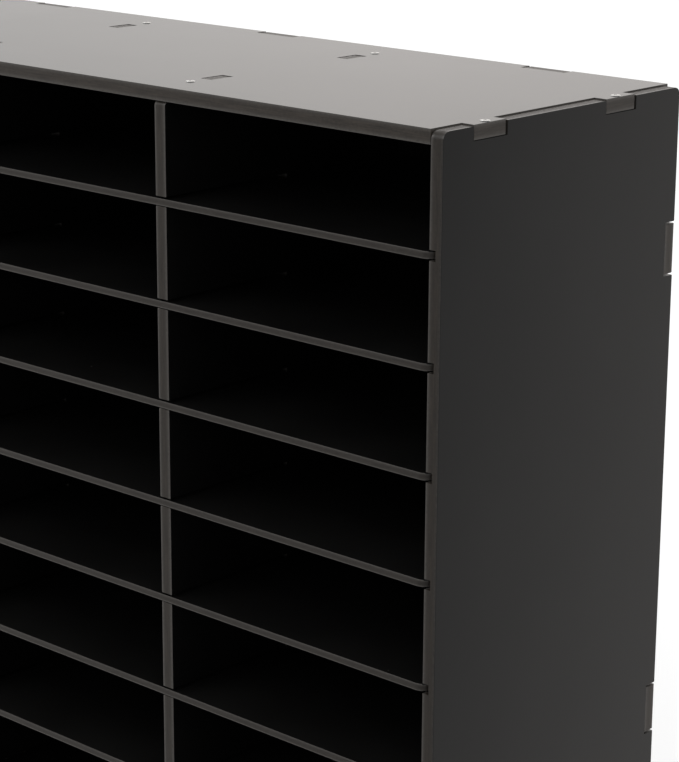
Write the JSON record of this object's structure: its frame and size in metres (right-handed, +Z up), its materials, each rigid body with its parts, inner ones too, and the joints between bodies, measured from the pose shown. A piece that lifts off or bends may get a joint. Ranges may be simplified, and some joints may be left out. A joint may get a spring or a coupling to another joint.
{
  "type": "pigeonhole mail sorter",
  "caption": "Free-standing pigeonhole mail sorter of black tab-and-slot boards, with open-fronted letter compartments and thin lapped shelves that slide out of the front.",
  "frame": {"origin": "on the floor face, under the middle of the sorter's outer box", "axes": "+X to the right and +Y to the back as seen from the open front, +Z up; the compartments open towards -Y"},
  "size_m": [0.909, 0.305, 0.7229],
  "materials": {
    "board": "black satin lacquered MDF with raw dark routed edges",
    "shelf_board": "black satin thin MDF with raw dark routed edges",
    "screw": "bright zinc plated, cross recess"
  },
  "bodies": {
    "carcass": {"top_panel": "board", "bottom_panel": "board", "left_side": "board", "right_side": "board", "divider_1": "board", "divider_2": "board", "back_panel": "board", "top_screw_1": "screw", "top_screw_2": "screw", "top_screw_3": "screw", "top_screw_4": "screw", "top_screw_5": "screw", "top_screw_6": "screw", "top_screw_7": "screw", "top_screw_8": "screw", "bottom_screw_1": "screw", "bottom_screw_2": "screw", "bottom_screw_3": "screw", "bottom_screw_4": "screw", "bottom_screw_5": "screw", "bottom_screw_6": "screw", "bottom_screw_7": "screw", "bottom_screw_8": "screw"},
    "shelf_1": {"shelf_1": "shelf_board"},
    "shelf_2": {"shelf_2": "shelf_board"},
    "shelf_3": {"shelf_3": "shelf_board"},
    "shelf_4": {"shelf_4": "shelf_board"},
    "shelf_5": {"shelf_5": "shelf_board"},
    "shelf_6": {"shelf_6": "shelf_board"},
    "shelf_7": {"shelf_7": "shelf_board"}
  },
  "joints": [
    {"name": "shelf_1_slide", "type": "slide", "parent": "carcass", "child": "shelf_1", "axis": [0, -1, 0], "range_m": [0, 0.28]},
    {"name": "shelf_2_slide", "type": "slide", "parent": "carcass", "child": "shelf_2", "axis": [0, -1, 0], "range_m": [0, 0.28]},
    {"name": "shelf_3_slide", "type": "slide", "parent": "carcass", "child": "shelf_3", "axis": [0, -1, 0], "range_m": [0, 0.28]},
    {"name": "shelf_4_slide", "type": "slide", "parent": "carcass", "child": "shelf_4", "axis": [0, -1, 0], "range_m": [0, 0.28]},
    {"name": "shelf_5_slide", "type": "slide", "parent": "carcass", "child": "shelf_5", "axis": [0, -1, 0], "range_m": [0, 0.28]},
    {"name": "shelf_6_slide", "type": "slide", "parent": "carcass", "child": "shelf_6", "axis": [0, -1, 0], "range_m": [0, 0.28]},
    {"name": "shelf_7_slide", "type": "slide", "parent": "carcass", "child": "shelf_7", "axis": [0, -1, 0], "range_m": [0, 0.28]}
  ]
}
